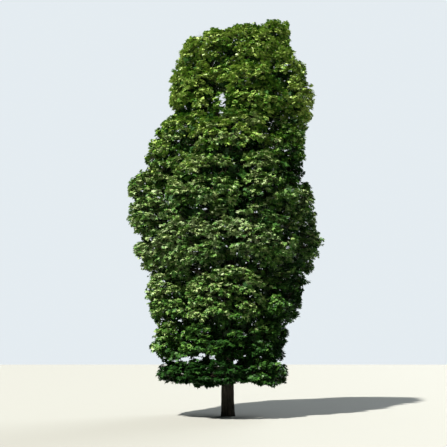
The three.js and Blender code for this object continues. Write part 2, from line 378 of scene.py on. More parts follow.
def outline(p):
    """How far the crown's outline is from its middle line, level with points and on their bearing."""
    q = p - middle(p[:, 2])
    w = (np.arctan2(q[:, 1], q[:, 0]) % (2 * math.pi)) / (2 * math.pi) * BEARINGS
    z = np.clip((p[:, 2] - Z_STEPS[0]) / 0.3, 0, len(Z_STEPS) - 1.001)
    b0 = np.floor(w).astype(int) % BEARINGS
    b1 = (b0 + 1) % BEARINGS
    fb = w - np.floor(w)
    z0 = np.floor(z).astype(int)
    fz = z - z0
    low = reach[z0, b0] * (1 - fb) + reach[z0, b1] * fb
    high = reach[z0 + 1, b0] * (1 - fb) + reach[z0 + 1, b1] * fb
    return low * (1 - fz) + high * fz, np.hypot(q[:, 0], q[:, 1])


LUMP = np.array([1.15, 1.15, 0.72])  # how far apart lumps of foliage are, level and in height
clumps, hubs = [], []
for m in masses:
    a, b, c = m.co[m.tri[:, 0]], m.co[m.tri[:, 1]], m.co[m.tri[:, 2]]
    cross = np.cross(b - a, c - a)
    area = np.linalg.norm(cross, axis=1) / 2
    count = int(area.sum() / 0.010)
    pick = rng.choice(len(area), count, p=area / area.sum())
    r1, r2 = np.sqrt(rng.random(count)), rng.random(count)
    p = (
        a[pick] * (1 - r1)[:, None]
        + b[pick] * (r1 * (1 - r2))[:, None]
        + c[pick] * (r1 * r2)[:, None]
    )
    normal = cross[pick] / (2 * area[pick])[:, None]
    # rounder than the facets
    n = unit(normal * 0.6 + unit((p - m.centre) / m.size) * 0.6)
    radial = p - middle(p[:, 2])
    radial[:, 2] = 0
    radial = unit(radial)
    open_way = np.zeros(count)
    for i in range(count):
        near = 9.0
        for way in (n[i], unit(n[i] + 0.7 * radial[i])):
            # the gaps between masses are 24 mm, so the ray starts less than that off the surface
            hit = crown_tree.ray_cast(Vector(p[i] + normal[i] * 0.004), Vector(way), 3.0)
            if hit[0] is not None:
                near = min(near, hit[3])
        open_way[i] = near
    exposed = smooth(open_way, 0.15, 1.0)
    outwards = (n * radial).sum(1)
    exposed = np.where(outwards < -0.3, exposed * 0.12, exposed)
    # clumps in the seams between masses stand further out
    full, now = outline(p)
    push = np.clip((full - now) * 0.8, 0, 0.45) * smooth(outwards, -0.1, 0.4) * smooth(exposed, 0.05, 0.4)
    p = p + radial * push[:, None]
    order = np.argsort(-exposed + rng.random(count) * 0.4)
    lumps = spread(p, LUMP[0] + 0 * exposed, LUMP[2] + 0 * exposed, order)
    hub_at = p[lumps]
    hub_in = hub_at - n[lumps] * 0.62
    first_hub = len(hubs)
    hubs += [(m, q) for q in hub_in]
    across = 0.74 - ACROSS * exposed
    up = 0.52 - UPWARD * exposed
    keep = spread(p, across, up, np.argsort(-exposed + rng.random(count) * 0.6))
    hollow, deep = in_ellipses(p[keep], HOLLOWS)
    hollow = np.where(p[keep][:, 1] < 0.3, hollow, 0)
    for j_, i in enumerate(keep):
        d = np.sqrt((((hub_at - p[i]) / LUMP) ** 2).sum(1))
        h = int(d.argmin())
        dome = unit(p[i] - hub_in[h])
        clumps.append((m, p[i], n[i], radial[i], exposed[i], hollow[j_] * deep[j_], first_hub + h, d[h], dome))
face_owner = np.concatenate([np.full(len(m.tri), i) for i, m in enumerate(masses)])


def nearest_mass(q):
    """The mass that a point is nearest to, how far off it is, and whether it is inside."""
    at, way, face, far_off = crown_tree.find_nearest(Vector(q))
    return masses[face_owner[face]], far_off, (Vector(q) - at).dot(way) < 0


def outside(p):
    """How far each point is outside the masses, less than nothing where it is inside one."""
    s = np.zeros(len(p))
    for i, q in enumerate(p):
        at, way, face, far_off = crown_tree.find_nearest(Vector(q))
        s[i] = far_off if (Vector(q) - at).dot(way) > 0 else -far_off
    return s


def around(count, low, high):
    """Points with random heights and bearings, and the way out from the middle line at each."""
    z = low + (high - low) * rng.random(count)
    w = rng.random(count) * 2 * math.pi
    return middle(z), np.stack([np.cos(w), np.sin(w), 0 * w], -1)


LOBES = len(clumps)
# Clumps that close the clefts between masses, a little behind the crown's outline
line, way = around(9000, 1.0, 11.8)
full = outline(line + way * 0.01)[0]
for q, r in zip(line + way * (full - CLEFT)[:, None], way):
    m, far_off, within = nearest_mass(q)
    if within or far_off < 0.08:
        continue
    # closer together in the low cleft above the skirt, which is thin
    apart = (0.34, 0.34, 0.22 if q[2] > 2.0 else 0.10)
    if (((np.array([c[1] for c in clumps]) - q) / apart) ** 2).sum(1).min() < 1:
        continue
    h = [i for i, (owner, _) in enumerate(hubs) if owner is m]
    hub = h[int(np.argmin([np.linalg.norm(hubs[i][1] - q) for i in h]))]
    clumps.append((m, q, r, r, 1.0, 0.0, hub, 0.6, unit(q - hubs[hub][1])))
CLEFTS = len(clumps)
# Clumps inside the crown
line, way = around(6000, 1.0, 12.6)
full = outline(line + way * 0.01)[0]
tries = line + way * (np.maximum(full - 0.5, 0.1) * rng.random(len(full)) ** 0.5)[:, None]
one = np.ones(len(tries))


for i in spread(tries, INNER[0] * one, INNER[1] * one, np.arange(len(tries))):
    q = tries[i]
    m, far_off, within = nearest_mass(q)
    if np.linalg.norm(q - axis_at(q[2])) < 0.3 or (far_off > 0.3 and not within):
        continue
    r = unit(way[i] + rng.normal(0, 0.2, 3) * (1, 1, 0.4))
    clumps.append((m, q + r * INSET, r, r, 0.0, 0.0, -1, 1.0, r))
OUTER = CLEFTS
print("clumps", len(clumps), "inside", len(clumps) - OUTER, "open", np.histogram([c[4] for c in clumps], 5, (0, 1))[0], "lumps", len(hubs))

C_mass = [c[0] for c in clumps]
C_point = np.array([c[1] for c in clumps])
C_normal = np.array([c[2] for c in clumps])
C_radial = np.array([c[3] for c in clumps])
C_open = np.array([c[4] for c in clumps])
C_hollow = np.array([c[5] for c in clumps])
C_hub = np.array([c[6] for c in clumps])
C_edge = np.array([c[7] for c in clumps])  # 0 at the middle of a lump, about 0.7 at its edge
C_dome = np.array([c[8] for c in clumps])
# the way that a clump faces: out from its lump and from the crown, and a little up
C_face = unit(
    C_dome * 0.65 + C_normal * 0.35 + C_radial * 0.30 + UP * 0.10 + rng.normal(0, 0.08, (len(clumps), 3))
)
inset = (
    INSET
    + rng.normal(0, 0.04, len(clumps))
    + C_hollow
    + VALLEY * smooth(C_edge, 0.35, 0.85)
)
C_origin = C_point - C_face * inset[:, None]

# ------------------------------------------------------------------ branches from the limbs to the clumps
pos, parent, base_r = [], [], []


def add_node(p, up_to, radius=0.0):
    pos.append(np.array(p, float))
    parent.append(up_to)
    base_r.append(radius)
    return len(pos) - 1


leader_lines = {}
for name, (into, r0, r1) in LEADERS.items():
    leader_lines[name] = route(trunk_at(FORK - 0.12), by_name[into].centre, 0.05)


def attach_point(target):
    """Where on the trunk or a leader a branch to this point starts, and the limb's radius there."""
    if target[2] < 9.6:
        away = math.hypot(*(target - axis_at(target[2]))[:2])
        z = float(np.clip(target[2] - 0.25 - away * 0.75, 0.95, FORK - 0.3))
        return trunk_at(z), float(trunk_radius(z))
    best = None
    for name, line in leader_lines.items():
        low = line[line[:, 2] < target[2] - 0.2]
        if not len(low):
            low = line[:2]
        d = np.linalg.norm(low - target, axis=1) + 0.2 * np.abs(low[:, 2] - target[2])
        i = int(d.argmin())
        if best is None or d[i] < best[0]:
            best = (d[i], low[i])
    return best[1], 0.055


entry = {}
for name, (height, into, r0, r1) in BOUGHS.items():
    m = by_name[into]
    goal = m.centre.copy()
    goal[2] -= m.size[2] * 0.3
    entry[into] = (trunk_at(height), goal, r0, r1)
for name, (into, r0, r1) in LEADERS.items():
    entry[into] = (trunk_at(FORK - 0.12), by_name[into].centre.copy(), r0, r1)

mass_nodes = {}
chains = []
for m in masses:
    if m.name in entry:
        start, goal, r0, r1 = entry[m.name]
    else:
        goal = m.centre.copy()
        goal[2] -= m.size[2] * 0.2
        start, near_r = attach_point(goal)
        r0, r1 = min(0.042, near_r * 0.6), 0.024
    line = route(start, goal, 0.06 if m.number < 34 else 0.03, 12)
    wobble = rng.normal(0, 0.02, line.shape)
    wobble[0] = wobble[-1] = 0
    line = line + wobble
    ids = [add_node(line[0], -1, r0)]
    for k in range(1, len(line)):
        t = k / (len(line) - 1)
        ids.append(add_node(line[k], ids[-1], r0 + (r1 - r0) * t))
    mass_nodes[m.name] = ids

clump_node = np.zeros(len(clumps), int)
for m in masses:
    ids = list(mass_nodes[m.name])
    # the middles of the lumps first, as the ends of side boughs, and then the clumps round them
    ends = [(-1, q) for (owner, q) in hubs if owner is m]
    ends.sort(key=lambda e: np.linalg.norm(e[1] - m.centre))
    mine = [(i, C_origin[i]) for i in range(len(clumps)) if C_mass[i] is m]
    mine.sort(key=lambda e: C_edge[e[0]])
    P = [pos[i] for i in ids[5:]]
    I = list(ids[5:])
    length = [0.02 * k for k in range(len(I))]
    for i, o in ends + mine:
        arr = np.array(P)
        d = np.linalg.norm(arr - o, axis=1)
        # prefers short ways home, and parents that lie lower and further in
        cost = d + 0.3 * np.array(length) + 0.25 * np.maximum(0, arr[:, 2] - o[2])
        j = int(cost.argmin())
        steps = max(1, int(round(d[j] / 0.22)))
        last = I[j]
        a = P[j]
        side = rng.normal(0, 0.05, 3) * d[j]
        for s in range(1, steps + 1):
            t = s / steps
            q = a + (o - a) * t + (side + UP * 0.10 * d[j]) * (4 * t * (1 - t)) * 0.6
            last = add_node(q, last)
            P.append(q)
            I.append(last)
            length.append(length[j] + d[j] * t)
        if i >= 0:
            clump_node[i] = last

# ------------------------------------------------------------------ twigs: a fan of sprays in each clump
LEAF = 0.098  # length of a blade out in the light, which is a quarter wider than long
INNER_LEAF = 0.150
CORE_LEAF = 0.172  # well inside the crown, where the leaves only close it
N = len(clumps)
inner = np.arange(N) >= OUTER
shaded = inner | (C_open < 0.35)
spray_clump, spray_dir, spray_len, spray_leaves = [], [], [], []
for i in range(N):
    k = 4 if inner[i] else 3 if shaded[i] else 5
    face = C_face[i]
    side = np.cross(face, UP)
    if np.linalg.norm(side) < 0.25:
        side = np.array([math.cos(i), math.sin(i), 0])
    side = side / np.linalg.norm(side)
    rise = np.cross(side, face)
    tilt = rng.normal(0, 0.10)
    for j in range(k):
        turn = (j + 0.5) / k * 2 - 1 + rng.normal(0, 0.10)
        lift = (0.24 if j % 2 else -0.20) + tilt + rng.normal(0, 0.13)
        fan = 1.25 if inner[i] else 0.98
        d = face + side * math.tan(min(fan * abs(turn), 1.35)) * math.copysign(0.9, turn) + rise * lift
        d = d / np.linalg.norm(d)
        spray_clump.append(i)
        spray_dir.append(d)
        # the tips of a clump lie on a flattened dome
        spray_len.append(0.40 - 0.09 * abs(turn) - 0.05 * abs(lift) + rng.normal(0, 0.03))
        spray_leaves.append(6 if inner[i] else 8 if shaded[i] else 14)
spray_clump = np.array(spray_clump)
spray_leaves = np.array(spray_leaves)
S_dir = np.array(spray_dir)
S_len = np.clip(np.array(spray_len), 0.2, 0.55)
S_start = C_origin[spray_clump] + rng.normal(0, 0.012, (len(spray_clump), 3))
S_face = C_face[spray_clump]
S_open = C_open[spray_clump]
S_shaded = shaded[spray_clump]
S = len(spray_clump)
print("sprays", S)

# sprays that would stand out from the masses are shortened, and those that fall short of them lengthened
tip_at = S_start + S_dir * S_len[:, None]
out_by = outside(tip_at)
limit = 0.02 + 0.05 * rng.random(S) + 0.03 * np.sin(tip_at @ np.array([3.1, 2.3, 4.7])) + 0.07 * (rng.random(S) < 0.05)
in_cleft = ((np.arange(N) >= LOBES) & ~inner)[spray_clump]
limit = np.where(inner[spray_clump], -0.04, limit)
S_len -= np.where(in_cleft, 0.0, np.maximum(out_by - limit, 0)) * 1.05
grows = (S_open > 0.6) & (C_hollow[spray_clump] == 0) & (C_edge[spray_clump] < 0.5) & ~in_cleft & ~inner[spray_clump]
S_len += np.where(grows & (out_by < limit), np.minimum(limit - out_by, 0.14) * 0.7, 0)
S_len = np.clip(S_len, 0.16, 0.55)

# sprays that would come out past the crown's box are shortened to it
room = np.array([0.05, 0.04, 0.05])
tip_at = S_start + S_dir * S_len[:, None]
over = np.maximum(tip_at - (np.array(cad_hi) + room), (np.array(cad_lo) - room) - tip_at).max(1)
S_len = np.where(over > 0, np.maximum(S_len - over * 1.3, 0.16), S_len)


def skirt_edge(x):
    """How high the wavy lower edge of the skirt is."""
    return 0.975 - 0.085 * np.cos(3.07 * (x + 0.7)) - 0.03 * np.sin(14.0 * x + 1.5)


# and so are those that would hang below the skirt's edge
over = skirt_edge(tip_at[:, 0]) + 0.12 - tip_at[:, 2]
S_len = np.where(over > 0, np.maximum(S_len - over * 1.6, 0.16), S_len)

# ------------------------------------------------------------------ leaves in opposite pairs along each twig
def leaves_on(some):
    """The leaves of some sprays: for each, its spray and where it hangs and how it lies."""
    count = spray_leaves[some]
    spray = np.repeat(some, count)
    slot = np.arange(len(spray)) - np.repeat(np.cumsum(count) - count, count)
    k = slot // 2
    pairs = spray_leaves[spray] // 2
    sign = np.where(slot % 2, 1.0, -1.0)[:, None]
    L = S_len[spray]
    t = (0.34 + 0.66 * k / (pairs - 1)) ** 0.8
    t = np.clip(t + rng.normal(0, 0.02, len(k)), 0.2, 1.0)
    on_twig = S_start[spray] + S_dir[spray] * (L * t)[:, None] - UP * (0.05 * t * t)[:, None]
    d = S_dir[spray]
    v1 = unit(np.cross(d, UP) + 1e-6)
    v2 = np.cross(v1, d)
    roll = (rng.random(len(S_len)) * 2 * math.pi)[spray] + (k % 2) * math.pi / 2
    out = (v1 * np.cos(roll)[:, None] + v2 * np.sin(roll)[:, None] * 0.55) * sign
    # stalks swing up so that the blades face the light
    stalk_way = unit(out * 0.85 + d * 0.65 + UP * 0.14 + rng.normal(0, 0.12, out.shape))
    stalk = (0.088 - 0.045 * t) * (1 + rng.normal(0, 0.15, len(t)))
    base = on_twig + stalk_way * np.clip(stalk, 0.02, 0.13)[:, None]
    face = S_face[spray]
    core = inner[spray_clump][spray]
    lie = np.where(core, 0.30, 0.88)[:, None]
    look = np.where(core, 0.85, 0.42)[:, None]
    normal = unit(UP * lie + face * look + out * 0.10 + rng.normal(0, 0.36, out.shape))
    tip = unit(out * 0.5 + d * 0.45 + face * 0.25 - UP * 0.42 + rng.normal(0, 0.2, out.shape))
    tip = unit(tip - normal * dot(tip, normal))
    dim = S_shaded[spray]
    size = (
        np.where(spray >= S, 0.19, np.where(core, CORE_LEAF, np.where(dim, INNER_LEAF, LEAF)))
        * (1 + rng.normal(0, 0.13, len(t)))
        * (1.05 - 0.18 * (k == pairs - 1))
    )
    size = np.clip(size, 0.06, 0.21)
    middle_of_leaf = base + tip * (size * 0.5)[:, None]
    u, v = seen_at(middle_of_leaf)
    keep = np.ones(len(base), bool)
    ragged = 1 + rng.uniform(-0.45, 0.2, len(base))
    # the larger leaves within are kept further off an opening
    more = np.where(core, 2.2, 0.0)
    for row in OPENINGS:
        keep &= np.hypot((u - row[0]) / (row[2] + more), (v - row[1]) / (row[3] + more)) > ragged
    edge = np.array([0.12, 0.11, 0.12])
    keep &= (middle_of_leaf < np.array(cad_hi) + edge).all(1)
    keep &= (middle_of_leaf > np.array(cad_lo) - edge).all(1)
    keep &= np.minimum(base, base + tip * size[:, None])[:, 2] > skirt_edge(base[:, 0]) - 0.13 * rng.random(len(base)) ** 2
    return [a[keep] for a in (spray, on_twig, stalk_way, base, normal, tip, size)]


def kites(leaf):
    """A search tree of the leaves, each as a kite, for lines of sight."""
    spray, on_twig, stalk_way, base, normal, tip, size = leaf
    wide = np.cross(tip, normal) * (size * np.where(S_shaded[spray], 0.5, 0.64))[:, None]
    long_ = tip * size[:, None]
    corners = np.stack([base, base + long_ * 0.36 - wide, base + long_, base + long_ * 0.36 + wide], 1)
    return BVHTree.FromPolygons(
        corners.reshape(-1, 3).tolist(), np.arange(len(base) * 4).reshape(-1, 4).tolist()
    )


leaf = leaves_on(np.arange(S))

# ------------------------------------------------------------------ lines of sight that the leaves leave open
def sheaves():
    """Grids of lines of sight: from the camera, and past the crown from many bearings, level and aslant."""
    f = 447 * LENS / 36
    u, v = np.meshgrid(np.arange(130, 322, 2.5), np.arange(20, 392, 2.0))
    q = np.stack([u - 223.5, np.full(u.shape, f), 223.5 - v], -1)
    c, n = math.cos(PITCH), math.sin(PITCH)
    way = np.stack([q[..., 0], q[..., 1] * c - q[..., 2] * n, q[..., 1] * n + q[..., 2] * c], -1)
    way = way / np.linalg.norm(way, axis=-1, keepdims=True)
    start = np.array(EYE) + way * (-EYE[1] - 4.0) / way[..., 1:2]
    yield start, way, (v, u)
    for climb in (-0.087, 0.0, 0.14):
        for turn in np.arange(12) * math.pi / 6 + climb:
            forth = np.array(
                [math.sin(turn) * math.cos(climb), math.cos(turn) * math.cos(climb), math.sin(climb)]
            )
            level = np.array([math.cos(turn), -math.sin(turn), 0])
            a, z = np.meshgrid(np.arange(-3.2, 3.21, 0.12), np.arange(0.8, 13.3, 0.08))
            start = middle(z.ravel()).reshape(z.shape + (3,)) + level * a[..., None] - forth * 4.0
            yield start, np.broadcast_to(forth, start.shape), None


def grown(mask, rows, cols):
    """A mask spread by so many rows and columns."""
    wide = mask.copy()
    for i in range(1, cols + 1):
        wide[:, i:] |= mask[:, :-i]
        wide[:, :-i] |= mask[:, i:]
    high = wide.copy()
    for i in range(1, rows + 1):
        high[i:] |= wide[:-i]
        high[:-i] |= wide[i:]
    return high


def open_lines(tree, start, way, where):
    """Which of the lines meet nothing in a search tree."""
    found = np.zeros(where.shape, bool)
    for i, j in zip(*np.nonzero(where)):
        found[i, j] = tree.ray_cast(Vector(start[i, j]), Vector(way[i, j]), 9.0)[0] is None
    return found


tree = kites(leaf)
P_start, P_dir, P_len, P_face, P_mass = [], [], [], [], []
patch_tree = None
seen_gaps = 0
for start, way, pixels in sheaves():
    # inside the crown: where the masses are met, with the seams between them closed, and a little in from the edge
    solid = np.ones(start.shape[:2], bool)
    solid &= ~open_lines(crown_tree, start, way, solid)
    solid = ~grown(~grown(solid, 3, 2), 5, 4)
    if pixels is not None:
        for row in OPENINGS:
            solid &= np.hypot((pixels[1] - row[0]) / row[2], (pixels[0] - row[1]) / row[3]) > 1.4
    gap = open_lines(tree, start, way, solid)
    if pixels is None:
        # a hole that only one line finds is as small as those that any crown has
        beside = np.zeros(gap.shape, int)
        for i, j in ((1, 0), (-1, 0), (0, 1), (0, -1), (1, 1), (-1, -1), (1, -1), (-1, 1)):
            beside += np.roll(gap, (i, j), (0, 1))
        gap &= beside > 0
    seen_gaps += gap.sum()
    for _ in range(4):
        if patch_tree is not None:
            gap = open_lines(patch_tree, start, way, gap)
        left = list(zip(*np.nonzero(gap)))
        if not left or len(P_len) > 1300:
            break
        rng.shuffle(left)
        taken = []
        for i, j in left:
            if any(abs(i - a) <= 2 and abs(j - b) <= 2 for a, b in taken):
                continue
            taken.append((i, j))
            w = way[i, j]
            flat = w * (1, 1, 0)
            q = start[i, j]
            for _ in range(3):
                to = middle(q[2:3])[0] - q
                q = q + w * (to @ flat) / (flat @ flat)
            full, now = outline(q[None])
            depth = math.sqrt(max(full[0] ** 2 - now[0] ** 2, 0.01))
            along = unit(np.cross(w, UP)) * rng.choice((-1, 1))
            along = unit(along + rng.normal(0, 0.15, 3) * (1, 1, 0.5))
            # somewhere along the line where the spray stays inside the crown
            tries = q + w * (depth * rng.permutation(np.linspace(-0.9, 0.9, 10)))[:, None]
            parts = np.stack([tries, tries + along * 0.2, tries - along * 0.25, tries + UP * 0.12, tries - UP * 0.14])
            out_by = outside(parts.reshape(-1, 3)).reshape(5, -1).max(0)
            if out_by.min() > 0.03:
                continue
            q = tries[int((out_by < 0.03).argmax())]
            P_start.append(q - along * 0.24)
            P_dir.append(along)
            P_len.append(0.33)
            P_face.append(unit(-w + UP * 0.2 + rng.normal(0, 0.2, 3)))
            P_mass.append(nearest_mass(q)[0])
        # the new sprays join the others, each as a clump of its own
        new = len(P_len) - (len(C_mass) - N)
        if not new:
            break
        C_mass += P_mass[-new:]
        C_open = np.append(C_open, np.zeros(new))
        C_hollow = np.append(C_hollow, np.zeros(new))
        C_edge = np.append(C_edge, np.full(new, 0.5))
        C_face = np.vstack([C_face, P_face[-new:]])
        inner = np.append(inner, np.ones(new, bool))
        shaded = np.append(shaded, np.ones(new, bool))
        fresh = np.arange(len(S_len), len(S_len) + new)
        spray_clump = np.append(spray_clump, np.arange(len(C_mass) - new, len(C_mass)))
        spray_leaves = np.append(spray_leaves, np.full(new, 6))
        S_dir = np.vstack([S_dir, P_dir[-new:]])
        S_len = np.append(S_len, P_len[-new:])
        S_start = np.vstack([S_start, P_start[-new:]])
        S_face = np.vstack([S_face, P_face[-new:]])
        S_open = np.append(S_open, np.zeros(new))
        S_shaded = np.append(S_shaded, np.ones(new, bool))
        leaf = [np.concatenate(both) for both in zip(leaf, leaves_on(fresh))]
        patch = leaf[0] >= S
        patch_tree = kites([a[patch] for a in leaf])
print("open lines of sight", seen_gaps, "closed by", len(P_len), "sprays")

# twigs for them, from the nearest branch
near_at = np.array(pos)
near_id = np.arange(len(pos))
clump_node = list(clump_node)
for q in P_start:
    d = np.linalg.norm(near_at - q, axis=1) + 0.25 * np.maximum(0, near_at[:, 2] - q[2])
    j = int(d.argmin())
    last = int(near_id[j])
    a = near_at[j]
    steps = max(1, int(round(d[j] / 0.22)))
    for s in range(1, steps + 1):
        last = add_node(a + (q - a) * s / steps, last)
    clump_node.append(last)
S = len(S_len)

twig_ids = []
for s in range(S):
    last = clump_node[spray_clump[s]]
    L = S_len[s]
    for t in (1.0,) if S_shaded[s] or s % 2 else (0.5, 1.0):
        p = S_start[s] + S_dir[s] * L * t - UP * (0.05 * t * t)
        last = add_node(p, last, 0.0)
    twig_ids.append(last)

pos_a = np.array(pos)
parent_a = np.array(parent)
# radii by the pipe rule, from the tips down
power = 2.35
load = np.zeros(len(pos_a))
for t in twig_ids:
    load[t] = 0.0019**power
for i in range(len(pos_a) - 1, -1, -1):
    if parent_a[i] >= 0:
        load[parent_a[i]] += load[i]
radius = np.maximum(load, 1e-12) ** (1 / power)
radius = np.maximum(radius, np.array(base_r))
radius = np.maximum(radius, 0.0016)


def tubes(name, child, sides, material):
    """Tapered tubes for the edges that end at these nodes."""
    par = parent_a[child]
    a, b = pos_a[par], pos_a[child]
    way = unit(b - a)
    # the thickest child carries its parent's ring on, so their tubes meet
    into = np.zeros_like(pos_a)
    has = parent_a >= 0
    into[has] = unit(pos_a[has] - pos_a[parent_a[has]])
    main = np.full(len(pos_a), -1)
    for i in np.argsort(radius):
        if parent_a[i] >= 0:
            main[parent_a[i]] = i
    tangent = into.copy()
    m = main >= 0
    tangent[m] = unit(into[m] + unit(pos_a[main[m]] - pos_a[m]))
    carries = main[par] == child
    t0 = np.where(carries[:, None], tangent[par], way)
    t1 = tangent[child]
    r0 = np.where(carries, radius[par], np.minimum(radius[par], radius[child] * 1.25))
    r1 = radius[child]
    ang = np.arange(sides) / sides * 2 * math.pi
    ref = np.where(np.abs(way[:, 2:3]) > 0.9, np.array([[1.0, 0, 0]]), UP[None])

    def ring(c, t, r):
        u = unit(np.cross(t, ref))
        v = np.cross(t, u)
        return (
            c[:, None]
            + (u[:, None] * np.cos(ang)[None, :, None] + v[:, None] * np.sin(ang)[None, :, None])
            * r[:, None, None]
        )

    ra, rb = ring(a, t0, r0), ring(b, t1, r1)
    verts = np.concatenate([ra, rb], 1).reshape(-1, 3)
    k = np.arange(sides)
    kn = (k + 1) % sides
    quad = np.stack([k, kn, kn + sides, k + sides], 1)
    base = (np.arange(len(child)) * 2 * sides)[:, None, None]
    tri = np.concatenate([quad[:, [0, 1, 2]], quad[:, [0, 2, 3]]], 0)
    faces = (base + tri[None]).reshape(-1, 3)
    return mesh_from(name, verts, faces, [material])


# ------------------------------------------------------------------ materials
def plain_material(name, colour, roughness, specular=0.5):
    m = bpy.data.materials.new(name)
    m.use_nodes = True
    b = m.node_tree.nodes["Principled BSDF"]
    b.inputs["Base Color"].default_value = (*colour, 1)
    b.inputs["Roughness"].default_value = roughness
    b.inputs["Specular IOR Level"].default_value = specular
    return m


def bark_material(name, dark, light, scale=1.0):
    """Ridged grey-brown bark: long cells down the limb, with lighter ridges, moss-grey patches and fine grain."""
    m = bpy.data.materials.new(name)
    m.use_nodes = True
    nt = m.node_tree
    N_ = nt.nodes
    b = N_["Principled BSDF"]
    b.inputs["Specular IOR Level"].default_value = 0.25
    co = N_.new("ShaderNodeTexCoord")
    mp = N_.new("ShaderNodeMapping")
    mp.inputs["Scale"].default_value = (26 * scale, 26 * scale, 5.5 * scale)
    nt.links.new(co.outputs["Object"], mp.inputs["Vector"])
    ridge = N_.new("ShaderNodeTexNoise")
    ridge.inputs["Scale"].default_value = 1.0
    ridge.inputs["Detail"].default_value = 7
    ridge.inputs["Roughness"].default_value = 0.62
    nt.links.new(mp.outputs["Vector"], ridge.inputs["Vector"])
    patch = N_.new("ShaderNodeTexNoise")
    patch.inputs["Scale"].default_value = 3.0
    patch.inputs["Detail"].default_value = 3
    nt.links.new(co.outputs["Object"], patch.inputs["Vector"])
    ramp = N_.new("ShaderNodeValToRGB")
    ramp.color_ramp.elements[0].position = 0.36
    ramp.color_ramp.elements[0].color = (*dark, 1)
    ramp.color_ramp.elements[1].position = 0.66
    ramp.color_ramp.elements[1].color = (*light, 1)
    nt.links.new(ridge.outputs["Fac"], ramp.inputs["Fac"])
    tone = N_.new("ShaderNodeMix")
    tone.data_type = "RGBA"
    tone.blend_type = "MULTIPLY"
    shade = N_.new("ShaderNodeValToRGB")
    shade.color_ramp.elements[0].position = 0.35
    shade.color_ramp.elements[0].color = (0.62, 0.66, 0.58, 1)
    shade.color_ramp.elements[1].position = 0.65
    shade.color_ramp.elements[1].color = (1.12, 1.05, 1.0, 1)
    nt.links.new(patch.outputs["Fac"], shade.inputs["Fac"])
    tone.inputs["Factor"].default_value = 1.0
    nt.links.new(ramp.outputs["Color"], tone.inputs["A"])
    nt.links.new(shade.outputs["Color"], tone.inputs["B"])
    nt.links.new(tone.outputs["Result"], b.inputs["Base Color"])
    rough = N_.new("ShaderNodeMapRange")
    rough.inputs["To Min"].default_value = 0.98
    rough.inputs["To Max"].default_value = 0.78
    nt.links.new(ridge.outputs["Fac"], rough.inputs["Value"])
    nt.links.new(rough.outputs["Result"], b.inputs["Roughness"])
    bump = N_.new("ShaderNodeBump")
    bump.inputs["Strength"].default_value = 0.7
    bump.inputs["Distance"].default_value = 0.012
    nt.links.new(ridge.outputs["Fac"], bump.inputs["Height"])
    nt.links.new(bump.outputs["Normal"], b.inputs["Normal"])
    return m


bark = bark_material("bark", (0.012, 0.011, 0.009), (0.060, 0.052, 0.042))
limb_bark = bark_material("limb_bark", (0.022, 0.019, 0.016), (0.095, 0.085, 0.072), 1.6)
twig_wood = plain_material("twig_wood", (0.075, 0.058, 0.038), 0.7, 0.3)
branch_wood = plain_material("branch_wood", (0.06, 0.05, 0.04), 0.85, 0.2)

# Leaf tints, from bright yellow-green to dark blue-green: a ladder of painted light and shade, the brightest for
# sprays out in the light and the darkest for shaded ones, with some random spread
LIGHT_TO_SHADE_TINTS = [
    (0.280, 0.360, 0.140),
    (0.208, 0.304, 0.094),
    (0.150, 0.256, 0.058),
    (0.098, 0.205, 0.035),
    (0.064, 0.162, 0.022),
    (0.042, 0.122, 0.016),
    (0.028, 0.090, 0.012),
    (0.018, 0.065, 0.009),
    (0.011, 0.046, 0.006),
    (0.007, 0.032, 0.004),
]
leaf_materials = [
    plain_material("leaf_tint_%02d" % i, c, 0.44 + 0.04 * (i % 4), 0.50 - 0.035 * i) for i, c in enumerate(LIGHT_TO_SHADE_TINTS)
]
# the same a little yellower, as painted sunlight, for high up where the crown is out in the sun
leaf_materials += [
    plain_material("leaf_warm_%02d" % i, (r * 1.02, g * 1.09, b * 0.60), 0.44 + 0.04 * (i % 4), 0.50 - 0.035 * i)
    for i, (r, g, b) in enumerate(LIGHT_TO_SHADE_TINTS)
]
# and a little bluer, for the middle, as a painted reflection of the sky that they mirror there
leaf_materials += [
    plain_material("leaf_cool_%02d" % i, (r, g, b * 1.22 + 0.002), 0.44 + 0.04 * (i % 4), 0.52 - 0.035 * i)
    for i, (r, g, b) in enumerate(LIGHT_TO_SHADE_TINTS)
]
petiole_material = plain_material("leaf_stalk", (0.20, 0.17, 0.06), 0.55, 0.3)

# a blade in its own outline: base, basal lobe, side lobe, notch, end lobe, and the same on the other side
OUTLINE = np.array(
    [
        (0, 0, 0.0),
        (-0.47, 0.02, -0.02),
        (-0.62, 0.52, -0.06),
        (-0.22, 0.54, 0.04),
        (0, 1.0, -0.10),
        (0.22, 0.54, 0.04),
        (0.62, 0.52, -0.06),
        (0.47, 0.02, -0.02),
    ]
)
INNER_OUTLINE = np.array(
    [
        (0, 0, 0.0),
        (-0.60, 0.42, -0.06),
        (-0.24, 0.58, 0.03),
        (0, 1.0, -0.08),
        (0.24, 0.58, 0.03),
        (0.60, 0.42, -0.06),
    ]
)
